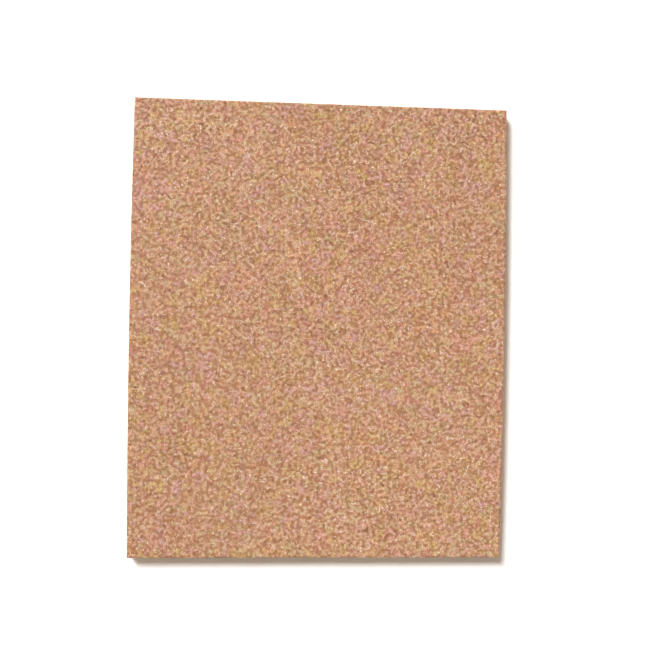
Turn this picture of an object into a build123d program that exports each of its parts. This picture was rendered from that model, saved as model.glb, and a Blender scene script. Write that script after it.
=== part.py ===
from build123d import *
import os

# A flexible sanding pad, also sold as a thin sanding block or sponge: a slab of soft foam with a
# coat of coarse grit bonded to one face. It lies grit side up and has no moving parts.
# The frame: origin on the surface it lies on, under the pad's centre; X across, Y along, Z up.
# Millimetres.

PAD_WIDTH = 115.0      # between the corners
PAD_LENGTH = 140.0
PAD_THICKNESS = 5.0

# The two long sides of the soft foam are cut a little bowed: at the middle of its length each
# stands this much further out than at its corners.
SIDE_BOW = 0.55

# Thickness of each layer of the coating, from the foam outwards
MAKE_COAT = 0.08
GRAIN = 0.26
SIZE_COAT = 0.06
FOAM = PAD_THICKNESS - MAKE_COAT - GRAIN - SIZE_COAT


def outline():
    """The pad's shape from above: straight ends, bowed long sides and sharp corners."""
    side, end = PAD_WIDTH / 2, PAD_LENGTH / 2
    edges = [
        Line((-side, -end), (side, -end)),
        ThreePointArc((side, -end), (side + SIDE_BOW, 0), (side, end)),
        Line((side, end), (-side, end)),
        ThreePointArc((-side, end), (-side - SIDE_BOW, 0), (-side, -end)),
    ]
    return make_face(edges)


def layer(bottom, thickness):
    """A layer of even thickness over the whole outline."""
    return extrude(Pos(0, 0, bottom) * outline(), amount=thickness, dir=(0, 0, 1))


def main():
    os.makedirs("parts", exist_ok=True)
    bottom = 0
    for name, thickness in (
        ("foam_pad", FOAM),
        ("make_coat", MAKE_COAT),
        ("abrasive_grain", GRAIN),
        ("size_coat", SIZE_COAT),
    ):
        export_step(layer(bottom, thickness), f"parts/{name}.step")
        bottom += thickness


main()
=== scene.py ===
import math

import bpy
import numpy as np
from mathutils import Euler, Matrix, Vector


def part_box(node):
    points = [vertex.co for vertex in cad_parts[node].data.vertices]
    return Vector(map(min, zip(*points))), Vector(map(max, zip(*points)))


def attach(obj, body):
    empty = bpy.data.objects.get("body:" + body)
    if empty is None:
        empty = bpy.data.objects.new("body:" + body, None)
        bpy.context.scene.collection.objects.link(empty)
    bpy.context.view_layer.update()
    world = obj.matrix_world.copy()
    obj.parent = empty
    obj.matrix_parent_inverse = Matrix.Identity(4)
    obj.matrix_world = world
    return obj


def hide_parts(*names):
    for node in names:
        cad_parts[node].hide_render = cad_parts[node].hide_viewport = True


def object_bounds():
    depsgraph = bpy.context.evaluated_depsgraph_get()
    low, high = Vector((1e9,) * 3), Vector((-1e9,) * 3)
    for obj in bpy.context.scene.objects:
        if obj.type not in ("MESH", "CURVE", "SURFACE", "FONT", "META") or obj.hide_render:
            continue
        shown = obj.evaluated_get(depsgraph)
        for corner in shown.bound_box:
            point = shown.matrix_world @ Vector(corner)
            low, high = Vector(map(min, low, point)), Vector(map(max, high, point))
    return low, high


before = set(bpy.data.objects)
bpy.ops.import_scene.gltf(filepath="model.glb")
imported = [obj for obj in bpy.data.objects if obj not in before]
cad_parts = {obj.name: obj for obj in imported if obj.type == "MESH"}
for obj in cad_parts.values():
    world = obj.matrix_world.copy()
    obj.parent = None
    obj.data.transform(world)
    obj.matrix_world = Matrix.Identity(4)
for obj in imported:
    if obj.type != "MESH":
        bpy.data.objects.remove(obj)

# A flexible sanding pad on a pale studio floor: the foam with its open cells, the two resin coats
# and every grain of the grit as a faceted solid of its own. Metres, in the frame of the CAD part.

MM = 0.001
SEED = 20

# The CAD part's box, before any piece is added
cad_low, cad_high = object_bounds()

# ---- sizes, from the frame -------------------------------------------------------------------

_, foam_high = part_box("foam_pad")
_, make_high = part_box("make_coat")

SIDE_BOW = 0.55 * MM         # how far the long sides stand out at the middle of their length
HALF_WIDTH = foam_high.x - SIDE_BOW
HALF_LENGTH = foam_high.y
FOAM_TOP = foam_high.z
MAKE_TOP = make_high.z
TIP_TOP = cad_high.z

# ---- the foam --------------------------------------------------------------------------------

CELL_STEP = 0.163 * MM       # mesh spacing of the cut sides
CELL_PITCH = 0.50 * MM       # from one open cell to the next
CELL_RADIUS = (0.14 * MM, 0.38 * MM)
CELL_DEPTH = (0.10 * MM, 0.36 * MM)
CUT_WANDER = 0.07 * MM       # how far the cut strays from a straight line
WANDER_STEPS = 12            # mesh steps from one turn of the straying cut to the next
CUT_HOLLOW = 0.22 * MM       # how far the sides pull in halfway up, where the foam was squeezed
HOLLOW_POWER = 0.8           # under 1, the hollow is flatter in the middle than a parabola
CORNER_FADE = 1.4 * MM       # within this distance of a corner, the cut comes out to meet it

# ---- the coats -------------------------------------------------------------------------------

MAKE_STEP = 1.0 * MM         # mesh spacing of the make coat
FILM_STEP = 0.60 * MM        # mesh spacing of the resin that shows between the grains
FILM_TOP = MAKE_TOP + 0.05 * MM
FILM_SWELL = 0.022 * MM      # how much the resin's surface rises and falls
SWELL_STEPS = 1.3            # the width of each rise and fall, in mesh steps
FILM_RAGGED = 0.04 * MM      # how unevenly a film ends at the cut

# ---- the grit --------------------------------------------------------------------------------

GRAIN_PITCH = 0.30 * MM
GRAIN_JITTER = 0.42          # of the pitch, each way
ROW_SHIFT = 0.25             # of the pitch: one row is set over by this, and the next set back
GRAINS_A_PIECE = 24_500
GRAIN_RADIUS = (0.145 * MM, 0.205 * MM)
GRAIN_GIRTH = (0.75, 1.1)    # a grain's half widths, in its radii
GRAIN_STAND = (0.9, 1.25)    # a grain's half height, in its radii: the coating field stands it up
GRAIN_ROOT = 0.05 * MM       # how deep its foot sits in the make coat
GRAIN_LEAN = math.radians(20)
CORNER_SCATTER = 0.25        # how unevenly a grain's corners lie, in its radii
CUT_LOSS_WIDTH = 0.35 * MM   # along the cut, a strip this wide has lost some of its grains
CUT_LOSS = 0.3               # the share that it has lost

# A crystal's corners and its eight faces: four corners round its sides, then its tip and foot
CRYSTAL_CORNERS = np.array(
    [(1, 0, 0), (0, 1, 0), (-1, 0, 0), (0, -1, 0), (0, 0, 1), (0, 0, -1)], float
)
TIP = 4
FOOT = 5
CRYSTAL_FACES = np.array(
    [
        (0, 1, TIP), (1, 2, TIP), (2, 3, TIP), (3, 0, TIP),
        (1, 0, FOOT), (2, 1, FOOT), (3, 2, FOOT), (0, 3, FOOT),
    ]
)

# The colours of the grit, in linear light: the share of the grains that has each, the width of
# the patches in which they gather, and the colour
GRAIN_COLOURS = {
    "tan": (0.25, 1.8 * MM, (0.612, 0.406, 0.264)),
    "rose": (0.12, 1.8 * MM, (0.652, 0.363, 0.277)),
    "ochre": (0.15, 1.9 * MM, (0.594, 0.430, 0.178)),
    "olive": (0.11, 1.7 * MM, (0.546, 0.435, 0.245)),
    "mauve": (0.11, 1.9 * MM, (0.611, 0.380, 0.353)),
    "amber": (0.06, 1.5 * MM, (0.650, 0.389, 0.200)),
    "umber": (0.09, 0.5 * MM, (0.39, 0.195, 0.105)),
    "cream": (0.10, 0.5 * MM, (0.74, 0.600, 0.445)),
}
COLOUR_GATHER = 3.0          # how strongly they gather
WIDE_PATCH = 1 * MM          # patches wider than this gather in larger clouds too
CLOUD_WIDTH = 3              # a cloud's width, in patches
CLOUD_GATHER = 0.45          # how strongly grains gather in clouds, against patches


def widen(y):
    """How much wider the pad is at y than at its corners: its long sides are bowed."""
    return 1 + SIDE_BOW / HALF_WIDTH * (1 - (y / HALF_LENGTH) ** 2)


def smooth_noise(random, x, y, size):
    """A smooth random field, about 1 high and deep, with bumps of the given size."""
    columns = int(2 * HALF_WIDTH / size) + 4
    rows = int(2 * HALF_LENGTH / size) + 4
    values = random.normal(size=(columns, rows))
    u = (x + HALF_WIDTH) / size + 1
    v = (y + HALF_LENGTH) / size + 1
    i = np.clip(u.astype(int), 0, columns - 2)
    j = np.clip(v.astype(int), 0, rows - 2)
    s = u - i
    t = v - j
    s = s * s * (3 - 2 * s)
    t = t * t * (3 - 2 * t)
    near = values[i, j] * (1 - s) + values[i + 1, j] * s
    far = values[i, j + 1] * (1 - s) + values[i + 1, j + 1] * s
    return near * (1 - t) + far * t


def new_piece(name, points, faces, material, *nodes):
    """A mesh piece that rides on the pad's body and stands for the named CAD nodes."""
    mesh = bpy.data.meshes.new(name)
    mesh.from_pydata(points, [], faces)
    mesh.materials.append(material)
    piece = bpy.data.objects.new(name, mesh)
    bpy.context.collection.objects.link(piece)
    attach(piece, "root")
    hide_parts(*nodes)
    return piece


def film(name, step, bottom, top, material, node, swell=0.0):
    """A closed film between two heights, which ends a little unevenly at the cut."""
    random = np.random.default_rng(SEED + len(name))
    columns = round(2 * HALF_WIDTH / step)
    rows = round(2 * HALF_LENGTH / step)
    x, y = np.meshgrid(
        np.linspace(-HALF_WIDTH, HALF_WIDTH, columns + 1),
        np.linspace(-HALF_LENGTH, HALF_LENGTH, rows + 1),
        indexing="ij",
    )
    ragged = random.uniform(0, FILM_RAGGED, (4, max(columns, rows) + 1))
    x[0, :] += ragged[0, : rows + 1]
    x[-1, :] -= ragged[1, : rows + 1]
    y[:, 0] += ragged[2, : columns + 1]
    y[:, -1] -= ragged[3, : columns + 1]
    x *= widen(y)
    rise = swell * smooth_noise(random, x, y, SWELL_STEPS * step)
    upper = np.stack([x, y, top + rise], -1).reshape(-1, 3)
    lower = np.stack([x, y, np.full(x.shape, bottom)], -1).reshape(-1, 3)
    number = np.arange(len(upper)).reshape(x.shape)
    a, b, c, d = number[:-1, :-1], number[1:, :-1], number[1:, 1:], number[:-1, 1:]
    top_faces = np.stack([a, b, c, d], -1).reshape(-1, 4)
    bottom_faces = top_faces[:, ::-1] + len(upper)
    ring = np.concatenate([number[:-1, 0], number[-1, :-1], number[:0:-1, -1], number[0, :0:-1]])
    after = np.roll(ring, -1)
    rim = np.stack([ring + len(upper), after + len(upper), after, ring], -1)
    faces = np.concatenate([top_faces, bottom_faces, rim])
    piece = new_piece(name, np.concatenate([upper, lower]), faces, material, node)
    smooth = np.ones(len(faces), bool)
    smooth[-len(rim):] = False
    piece.data.polygons.foreach_set("use_smooth", smooth)
    return piece


def cut_line():
    """Points round the pad's outline from above, counter-clockwise, each with its way out and
    its distance to the nearest corner."""
    across = round(2 * HALF_WIDTH / CELL_STEP)
    along = round(2 * HALF_LENGTH / CELL_STEP)
    x = np.linspace(-HALF_WIDTH, HALF_WIDTH, across + 1)[:-1]
    y = np.linspace(-HALF_LENGTH, HALF_LENGTH, along + 1)[:-1]
    places = [
        np.stack([x, np.full(across, -HALF_LENGTH)], -1),
        np.stack([HALF_WIDTH * widen(y), y], -1),
        np.stack([-x, np.full(across, HALF_LENGTH)], -1),
        np.stack([-HALF_WIDTH * widen(y), -y], -1),
    ]
    outs = [(0, -1)] * across + [(1, 0)] * along + [(0, 1)] * across + [(-1, 0)] * along
    steps = [np.minimum(np.arange(n), n - np.arange(n)) for n in (across, along, across, along)]
    return np.concatenate(places), np.array(outs, float), np.concatenate(steps) * CELL_STEP


def open_cells(random, run, height):
    """How deep the cut foam is at each point: round pits where the cut opened a cell."""
    columns = round(run[-1] / CELL_PITCH)
    levels = round(FOAM_TOP / CELL_PITCH) + 2
    pitch = run[-1] / columns
    middle_run = (np.arange(columns)[:, None] + random.uniform(0, 1, (columns, levels))) * pitch
    middle_height = (np.arange(levels) - 1 + random.uniform(0, 1, (columns, levels))) * CELL_PITCH
    radius = random.uniform(*CELL_RADIUS, (columns, levels))
    depth = random.uniform(*CELL_DEPTH, (columns, levels))
    u, v = np.meshgrid(run, height, indexing="ij")
    column = (u / pitch).astype(int)
    level = (v / CELL_PITCH).astype(int) + 1
    deepest = np.zeros(u.shape)
    for step_u in (-1, 0, 1):
        for step_v in (-1, 0, 1):
            i = (column + step_u) % columns
            j = np.clip(level + step_v, 0, levels - 1)
            away = (u - middle_run[i, j] + run[-1] / 2) % run[-1] - run[-1] / 2
            share = (away**2 + (v - middle_height[i, j]) ** 2) / radius[i, j] ** 2
            deepest = np.maximum(deepest, depth[i, j] * np.sqrt(np.clip(1 - share, 0, 1)))
    return deepest


def foam():
    """The foam slab: cut sides with open cells, pulled in a little halfway up, and a flat back."""
    random = np.random.default_rng(SEED + 1)
    line, outs, to_corner = cut_line()
    count = len(line)
    run = np.arange(count) * CELL_STEP
    rows = round(FOAM_TOP / CELL_STEP)
    height = np.linspace(0, FOAM_TOP, rows + 1)
    depth = open_cells(random, run, height)
    share = height / FOAM_TOP
    depth += CUT_HOLLOW * (4 * share * (1 - share)) ** HOLLOW_POWER
    wander = random.uniform(0, 1, count // WANDER_STEPS)
    slow = np.interp(run / run[-1] * (len(wander) - 1), np.arange(len(wander)), wander)
    depth += CUT_WANDER * slow[:, None]
    depth *= np.minimum(to_corner / CORNER_FADE, 1)[:, None]
    spot = line[:, None, :] - outs[:, None, :] * depth[:, :, None]
    up = np.broadcast_to(height, depth.shape)
    points = np.concatenate([spot, up[:, :, None]], -1).reshape(-1, 3)
    number = np.arange(len(points)).reshape(count, rows + 1)
    after = np.roll(number, -1, axis=0)
    wall = np.stack([number[:, :-1], after[:, :-1], after[:, 1:], number[:, 1:]], -1)
    faces = wall.reshape(-1, 4).tolist()
    faces.append(number[::-1, 0].tolist())
    faces.append(number[:, -1].tolist())
    piece = new_piece("foam_slab", points, faces, foam_material(), "foam_pad")


def grain_places(random):
    """Where the grains stand: a jittered grid with every other row set over by half a pitch."""
    columns = round(2 * HALF_WIDTH / GRAIN_PITCH)
    rows = round(2 * HALF_LENGTH / GRAIN_PITCH)
    x = (np.arange(columns) + 0.5) * 2 * HALF_WIDTH / columns - HALF_WIDTH
    y = (np.arange(rows) + 0.5) * 2 * HALF_LENGTH / rows - HALF_LENGTH
    x, y = np.meshgrid(x, y, indexing="ij")
    x = x + np.where(np.arange(rows) % 2, ROW_SHIFT, -ROW_SHIFT) * GRAIN_PITCH
    jitter = random.uniform(-GRAIN_JITTER, GRAIN_JITTER, (2, *x.shape)) * GRAIN_PITCH
    x = (x + jitter[0]).ravel()
    y = (y + jitter[1]).ravel()
    inside = np.minimum(HALF_WIDTH - np.abs(x), HALF_LENGTH - np.abs(y))
    kept = (inside > CUT_LOSS_WIDTH) | (random.uniform(size=len(x)) > CUT_LOSS)
    return x[kept] * widen(y[kept]), y[kept]


def grain_colours(random, x, y):
    """The number of each grain's colour, chosen so that grains of one colour gather."""
    chance = []
    for share, patch, _ in GRAIN_COLOURS.values():
        gathering = smooth_noise(random, x, y, patch)
        if patch > WIDE_PATCH:
            gathering += CLOUD_GATHER * smooth_noise(random, x, y, CLOUD_WIDTH * patch)
        own = random.gumbel(size=len(x))
        chance.append(math.log(share) + own + COLOUR_GATHER * gathering)
    return np.argmax(chance, axis=0)


def turns(random, count):
    """A rotation matrix for each grain: any turn about Z, then a lean in any direction."""
    turn = random.uniform(0, 2 * math.pi, count)
    lean = random.normal(0, GRAIN_LEAN, (2, count))
    matrices = []
    for spin, tip_x, tip_y in zip(turn, *lean):
        matrices.append(Euler((tip_x, tip_y, spin)).to_matrix())
    return np.array(matrices)


def grain_solids(random, x, y):
    """The corners of every grain: an uneven crystal with a foot, a tip and four side corners."""
    count = len(x)
    radius = random.uniform(*GRAIN_RADIUS, count)
    size = np.stack(
        [
            radius * random.uniform(*GRAIN_GIRTH, count),
            radius * random.uniform(*GRAIN_GIRTH, count),
            radius * random.uniform(*GRAIN_STAND, count),
        ],
        -1,
    )
    scatter = random.uniform(-CORNER_SCATTER, CORNER_SCATTER, (count, *CRYSTAL_CORNERS.shape))
    shape = (CRYSTAL_CORNERS + scatter) * size[:, None, :]
    shape = np.einsum("nij,nkj->nki", turns(random, count), shape)
    lowest = shape[:, :, 2].min(1)
    shape[:, :, 2] += (MAKE_TOP - GRAIN_ROOT - lowest)[:, None]
    shape[:, :, 2] = np.minimum(shape[:, :, 2], TIP_TOP)
    shape[:, :, 1] = np.clip(shape[:, :, 1] + y[:, None], -HALF_LENGTH, HALF_LENGTH)
    side = HALF_WIDTH * widen(shape[:, :, 1])
    shape[:, :, 0] = np.clip(shape[:, :, 0] + x[:, None], -side, side)
    return shape


# On a crystal's square map, the tip is in the middle, the side corners are halfway along the
# square's sides, and the foot is on the square's corners
SIDE_PLACES = [(1, 0), (0, 1), (-1, 0), (0, -1)]
FOOT_PLACES = [(1, 1), (-1, 1), (-1, -1), (1, -1)]
MAP_NAME = "OFBake"
MAP_FILL = 0.94              # how much of its square a crystal covers, each way


def crystal_map():
    """The places of one crystal's 24 face corners on its square map, from -1 to 1."""
    places = []
    for number, face in enumerate(CRYSTAL_FACES):
        for corner in face:
            if corner == TIP:
                places.append((0, 0))
            elif corner == FOOT:
                places.append(FOOT_PLACES[number - len(SIDE_PLACES)])
            else:
                places.append(SIDE_PLACES[corner])
    return np.array(places, float)


def map_grains(mesh, count):
    """Gives each grain its own square of the mesh's map, so that a baked colour stays its own."""
    across = math.ceil(math.sqrt(count))
    number = np.arange(count)
    middles = np.stack([number % across, number // across], -1) + 0.5
    places = (middles[:, None, :] + crystal_map() * 0.5 * MAP_FILL) / across
    mesh.uv_layers.new(name=MAP_NAME).data.foreach_set("uv", places.ravel())


def grit():
    """Every grain on the pad, in pieces of one colour each."""
    random = np.random.default_rng(SEED)
    x, y = grain_places(random)
    colours = grain_colours(random, x, y)
    solids = grain_solids(random, x, y)
    for number, (name, (_, _, colour)) in enumerate(GRAIN_COLOURS.items()):
        chosen = solids[colours == number]
        parts = math.ceil(len(chosen) / GRAINS_A_PIECE)
        material = grain_material(f"grain_{name}", colour)
        for part in range(parts):
            share = chosen[part::parts]
            first = len(CRYSTAL_CORNERS) * np.arange(len(share))
            faces = (CRYSTAL_FACES + first[:, None, None]).reshape(-1, 3)
            piece = new_piece(
                f"grain_{name}_{part + 1}", share.reshape(-1, 3), faces, material, "abrasive_grain"
            )
            map_grains(piece.data, len(share))


# ---- materials -------------------------------------------------------------------------------

WHITE = (1.0, 1.0, 1.0)
NOISE_RANGE = (0.3, 0.7)     # nearly all of a noise lies in this range

# SIZE is the width of a noise's features, PLACES are where along a noise a ramp's colours lie, and
# HEIGHT is how far a bump stands out

# The grit: DEEP and PALE multiply its colour in its deepest mottling, which is redder, and its
# palest
MOTTLE_SIZE = 0.51 * MM
MOTTLE_PLACES = (0.34, 0.50, 0.66)
DEEP = (0.64, 0.50, 0.405)
PALE = (1.18, 1.34, 1.53)
GRIT_CLOUD_SIZE = 8 * MM
GRIT_CLOUD_PLACES = (0.35, 0.65)
GRIT_WORN = (0.975, 0.97, 0.965)
GRIT_ROUGHNESS = (0.58, 0.78)
CHIP_SIZE = 0.06 * MM
CHIP_HEIGHT = 0.006 * MM

# The resins: each has a dark colour where it is deep, a light one where it is thin, and its lowest
# roughness
MAKE_RESIN = ((0.13, 0.055, 0.022), (0.26, 0.12, 0.05), 0.5)
SIZE_RESIN = ((0.28, 0.115, 0.055), (0.56, 0.31, 0.175), 0.45)
RESIN_DEPTH_SIZE = 0.55 * MM
RESIN_DEPTH_PLACES = (0.32, 0.68)
RESIN_PORE_SIZE = 0.12 * MM
RESIN_PORE_HEIGHT = 0.015 * MM
RESIN_ROUGHER = 0.18         # how much rougher it gets
RESIN_COAT = 0.1
COAT_ROUGHNESS = 0.3

# The foam: its colour in its cells, between them and on its skin. It follows the cell bump, so the
# darkest colour, in the bump's hollows, is painted shade
FOAM_COLOURS_WITH_CELL_SHADE = ((0.42, 0.295, 0.19), (0.58, 0.43, 0.295), (0.69, 0.545, 0.40))
FOAM_PLACES = (0.32, 0.50, 0.68)
FOAM_CELL_SIZE = 0.16 * MM
FOAM_CELL_HEIGHT = 0.10 * MM
FOAM_CLOUD_SIZE = 4 * MM
FOAM_CLOUD_PLACES = (0.30, 0.70)
FOAM_AGED = (0.92, 0.90, 0.87)
FOAM_ROUGHNESS = (0.86, 0.98)
STAIN_START = 0.86           # how far up the foam the resin that soaked into it begins
STAIN_COLOUR = (0.55, 0.42, 0.32)

# The floor: pale paper
FLOOR_TONES = ((0.93, 0.93, 0.93), (0.94, 0.94, 0.94))
FLOOR_TOOTH_SIZE = 0.6 * MM
FLOOR_TOOTH_HEIGHT = 0.002 * MM
FLOOR_ROUGHNESS = (0.85, 0.95)


class Nodes:
    """A material's node tree, with short calls for the nodes used here."""

    def __init__(self, name):
        self.material = bpy.data.materials.new(name)
        self.material.use_nodes = True
        self.tree = self.material.node_tree
        self.shader = self.tree.nodes["Principled BSDF"]
        self.place = self.tree.nodes.new("ShaderNodeTexCoord").outputs["Object"]

    def noise(self, size, detail=2.0, roughness=0.5):
        """Noise with features about this many metres wide, from 0 to 1."""
        node = self.tree.nodes.new("ShaderNodeTexNoise")
        node.inputs["Scale"].default_value = 0.5 / size
        node.inputs["Detail"].default_value = detail
        node.inputs["Roughness"].default_value = roughness
        self.tree.links.new(self.place, node.inputs["Vector"])
        return node.outputs["Fac"]

    def height(self):
        """The height in the foam, from 0 at its back to 1 under the coating."""
        split = self.tree.nodes.new("ShaderNodeSeparateXYZ")
        self.tree.links.new(self.place, split.inputs["Vector"])
        node = self.tree.nodes.new("ShaderNodeMapRange")
        node.inputs["From Max"].default_value = FOAM_TOP
        self.tree.links.new(split.outputs["Z"], node.inputs["Value"])
        return node.outputs["Result"]

    def ramp(self, value, *stops):
        """A colour ramp over value, from (place, colour) stops."""
        node = self.tree.nodes.new("ShaderNodeValToRGB")
        elements = node.color_ramp.elements
        while len(elements) < len(stops):
            elements.new(0.5)
        for element, (place, colour) in zip(elements, stops):
            element.position = place
            element.color = (*colour, 1)
        self.tree.links.new(value, node.inputs["Fac"])
        return node.outputs["Color"]

    def between(self, value, low, high):
        """A noise stretched to run from low to high."""
        node = self.tree.nodes.new("ShaderNodeMapRange")
        node.inputs["From Min"].default_value = NOISE_RANGE[0]
        node.inputs["From Max"].default_value = NOISE_RANGE[1]
        node.inputs["To Min"].default_value = low
        node.inputs["To Max"].default_value = high
        self.tree.links.new(value, node.inputs["Value"])
        return node.outputs["Result"]

    def multiply(self, first, second):
        """The product of two colours."""
        node = self.tree.nodes.new("ShaderNodeMix")
        node.data_type = "RGBA"
        node.blend_type = "MULTIPLY"
        node.inputs["Factor"].default_value = 1
        self.tree.links.new(first, node.inputs["A"])
        self.tree.links.new(second, node.inputs["B"])
        return node.outputs["Result"]

    def finish(self, colour, roughness, bump, bump_height, coat=0.0):
        """Joins the colour, roughness and bump to the shader and returns the material."""
        links = self.tree.links
        links.new(colour, self.shader.inputs["Base Color"])
        links.new(roughness, self.shader.inputs["Roughness"])
        node = self.tree.nodes.new("ShaderNodeBump")
        node.inputs["Strength"].default_value = 1.0
        node.inputs["Distance"].default_value = bump_height
        links.new(bump, node.inputs["Height"])
        links.new(node.outputs["Normal"], self.shader.inputs["Normal"])
        self.shader.inputs["Coat Weight"].default_value = coat
        self.shader.inputs["Coat Roughness"].default_value = COAT_ROUGHNESS
        return self.material


def shade(colour, factors):
    """A colour made deeper or paler."""
    return tuple(min(part * factor, 1.0) for part, factor in zip(colour, factors))


def grain_material(name, colour):
    """Crushed mineral under a thin skin of resin: mottled, with chipped facets."""
    nodes = Nodes(name)
    mottle = nodes.noise(MOTTLE_SIZE, detail=0)
    tones = (shade(colour, DEEP), colour, shade(colour, PALE))
    tint = nodes.ramp(mottle, *zip(MOTTLE_PLACES, tones))
    cloud = nodes.noise(GRIT_CLOUD_SIZE, detail=2)
    worn = nodes.ramp(cloud, *zip(GRIT_CLOUD_PLACES, (GRIT_WORN, WHITE)))
    chips = nodes.noise(CHIP_SIZE, detail=2, roughness=0.7)
    roughness = nodes.between(mottle, *GRIT_ROUGHNESS)
    return nodes.finish(nodes.multiply(tint, worn), roughness, chips, CHIP_HEIGHT)


def resin_material(name, dark, light, gloss):
    """Cured phenolic resin: amber, uneven in depth, with a soft half gloss."""
    nodes = Nodes(name)
    depth = nodes.noise(RESIN_DEPTH_SIZE, detail=3, roughness=0.6)
    tint = nodes.ramp(depth, *zip(RESIN_DEPTH_PLACES, (dark, light)))
    pores = nodes.noise(RESIN_PORE_SIZE, detail=3, roughness=0.6)
    roughness = nodes.between(depth, gloss, gloss + RESIN_ROUGHER)
    return nodes.finish(tint, roughness, pores, RESIN_PORE_HEIGHT, coat=RESIN_COAT)


def foam_material():
    """Open-cell foam: matt, cloudy, with fine cells darkened in their hollows by painted shade,
    and stained by resin under the coating.
    """
    nodes = Nodes("foam")
    cells = nodes.noise(FOAM_CELL_SIZE, detail=3, roughness=0.7)
    # The cell noise is the bump too: where it is low, in the cells' hollows, the colour is
    # darkest, which is painted shade
    tint = nodes.ramp(cells, *zip(FOAM_PLACES, FOAM_COLOURS_WITH_CELL_SHADE))
    cloud = nodes.noise(FOAM_CLOUD_SIZE, detail=3)
    aged = nodes.ramp(cloud, *zip(FOAM_CLOUD_PLACES, (FOAM_AGED, WHITE)))
    stain = nodes.ramp(nodes.height(), (STAIN_START, WHITE), (1.0, STAIN_COLOUR))
    colour = nodes.multiply(nodes.multiply(tint, aged), stain)
    return nodes.finish(colour, nodes.between(cells, *FOAM_ROUGHNESS), cells, FOAM_CELL_HEIGHT)


def floor_material():
    """Plain pale paper with a faint tooth."""
    nodes = Nodes("studio_floor")
    tooth = nodes.noise(FLOOR_TOOTH_SIZE)
    tint = nodes.ramp(tooth, *zip(NOISE_RANGE, FLOOR_TONES))
    roughness = nodes.between(tooth, *FLOOR_ROUGHNESS)
    return nodes.finish(tint, roughness, tooth, FLOOR_TOOTH_HEIGHT)


# ---- the studio ------------------------------------------------------------------------------

FLOOR_RADIUS = 4.0
FLOOR_SIDES = 96

# The camera looks down on the pad from a little to the left, and is turned by a degree
CAMERA_LENS = 50             # in millimetres, as Blender takes it
CAMERA_DISTANCE = 0.2833
CAMERA_LEFT = math.radians(4.28)
CAMERA_ROLL = math.radians(1.0)
CAMERA_AIM = Vector((0.0020, 0.0018, 0))
CAMERA_NEAR = 0.01

# The key light comes from the upper left of the picture and throws a short soft shadow. A lamp
# on the same side, close to the pad, adds to it
KEY_WAY = Vector((3.0, -3.8, -5.0)).normalized()
KEY_WIDTH = math.radians(18)
KEY_STRENGTH = 3.58
LAMP_DISTANCE = 0.4
LAMP_DIAMETER = 0.13
LAMP_POWER = 0.59

# The room: white all round at the height of the pad, and a warm dim ceiling. The heights are the
# sines of the angles above the floor between which the one gives way to the other
WALL_COLOUR = WHITE
CEILING_COLOUR = (0.34, 0.255, 0.187)
WALL_TOP = 0.20
CEILING_START = 0.45


def floor():
    """A wide round floor."""
    points = [(0, 0, 0)]
    for side in range(FLOOR_SIDES):
        turn = 2 * math.pi * side / FLOOR_SIDES
        points.append((FLOOR_RADIUS * math.cos(turn), FLOOR_RADIUS * math.sin(turn), 0))
    faces = [(0, 1 + side, 1 + (side + 1) % FLOOR_SIDES) for side in range(FLOOR_SIDES)]
    mesh = bpy.data.meshes.new("studio_floor")
    mesh.from_pydata(points, [], faces)
    mesh.materials.append(floor_material())
    piece = bpy.data.objects.new("studio_floor", mesh)
    bpy.context.collection.objects.link(piece)


def lights():
    """The key light and the lamp beside it, which shine the same way."""
    key = bpy.data.lights.new("key", "SUN")
    key.angle = KEY_WIDTH
    key.energy = KEY_STRENGTH
    lamp = bpy.data.lights.new("lamp", "AREA")
    lamp.shape = "DISK"
    lamp.size = LAMP_DIAMETER
    lamp.energy = LAMP_POWER
    for light in (key, lamp):
        piece = bpy.data.objects.new(light.name, light)
        piece.location = -LAMP_DISTANCE * KEY_WAY
        piece.rotation_mode = "QUATERNION"
        piece.rotation_quaternion = KEY_WAY.to_track_quat("-Z", "Y")
        piece.visible_camera = False
        bpy.context.collection.objects.link(piece)


def room():
    """The light of the room: its colour goes by the height of the way that it comes from."""
    world = bpy.data.worlds.new("room")
    world.use_nodes = True
    nodes = world.node_tree.nodes
    links = world.node_tree.links
    way = nodes.new("ShaderNodeTexCoord")
    split = nodes.new("ShaderNodeSeparateXYZ")
    links.new(way.outputs["Generated"], split.inputs["Vector"])
    ramp = nodes.new("ShaderNodeValToRGB")
    ramp.color_ramp.interpolation = "EASE"
    wall, ceiling = ramp.color_ramp.elements
    wall.position = WALL_TOP
    wall.color = (*WALL_COLOUR, 1)
    ceiling.position = CEILING_START
    ceiling.color = (*CEILING_COLOUR, 1)
    links.new(split.outputs["Z"], ramp.inputs["Fac"])
    links.new(ramp.outputs["Color"], nodes["Background"].inputs["Color"])
    bpy.context.scene.world = world
    bpy.context.scene.view_settings.view_transform = "Standard"


def camera():
    """The camera, above the pad and a little to its left, looking straight at its aim."""
    lens = bpy.data.cameras.new("camera")
    lens.lens = CAMERA_LENS
    lens.clip_start = CAMERA_NEAR
    eye = bpy.data.objects.new("camera", lens)
    back = Vector((-math.sin(CAMERA_LEFT), 0, math.cos(CAMERA_LEFT)))
    eye.location = CAMERA_AIM + back * CAMERA_DISTANCE
    eye.rotation_mode = "QUATERNION"
    eye.rotation_quaternion = Euler((0, -CAMERA_LEFT, 0)).to_quaternion()
    eye.rotation_quaternion @= Euler((0, 0, CAMERA_ROLL)).to_quaternion()
    bpy.context.collection.objects.link(eye)
    bpy.context.scene.camera = eye


camera()
floor()
lights()
room()
foam()

make_film = film(
    "make_resin", MAKE_STEP, FOAM_TOP, MAKE_TOP,
    resin_material("make_resin", *MAKE_RESIN), "make_coat",
)

size_film = film(
    "size_resin", FILM_STEP, MAKE_TOP, FILM_TOP,
    resin_material("size_resin", *SIZE_RESIN), "size_coat", swell=FILM_SWELL,
)

grit()
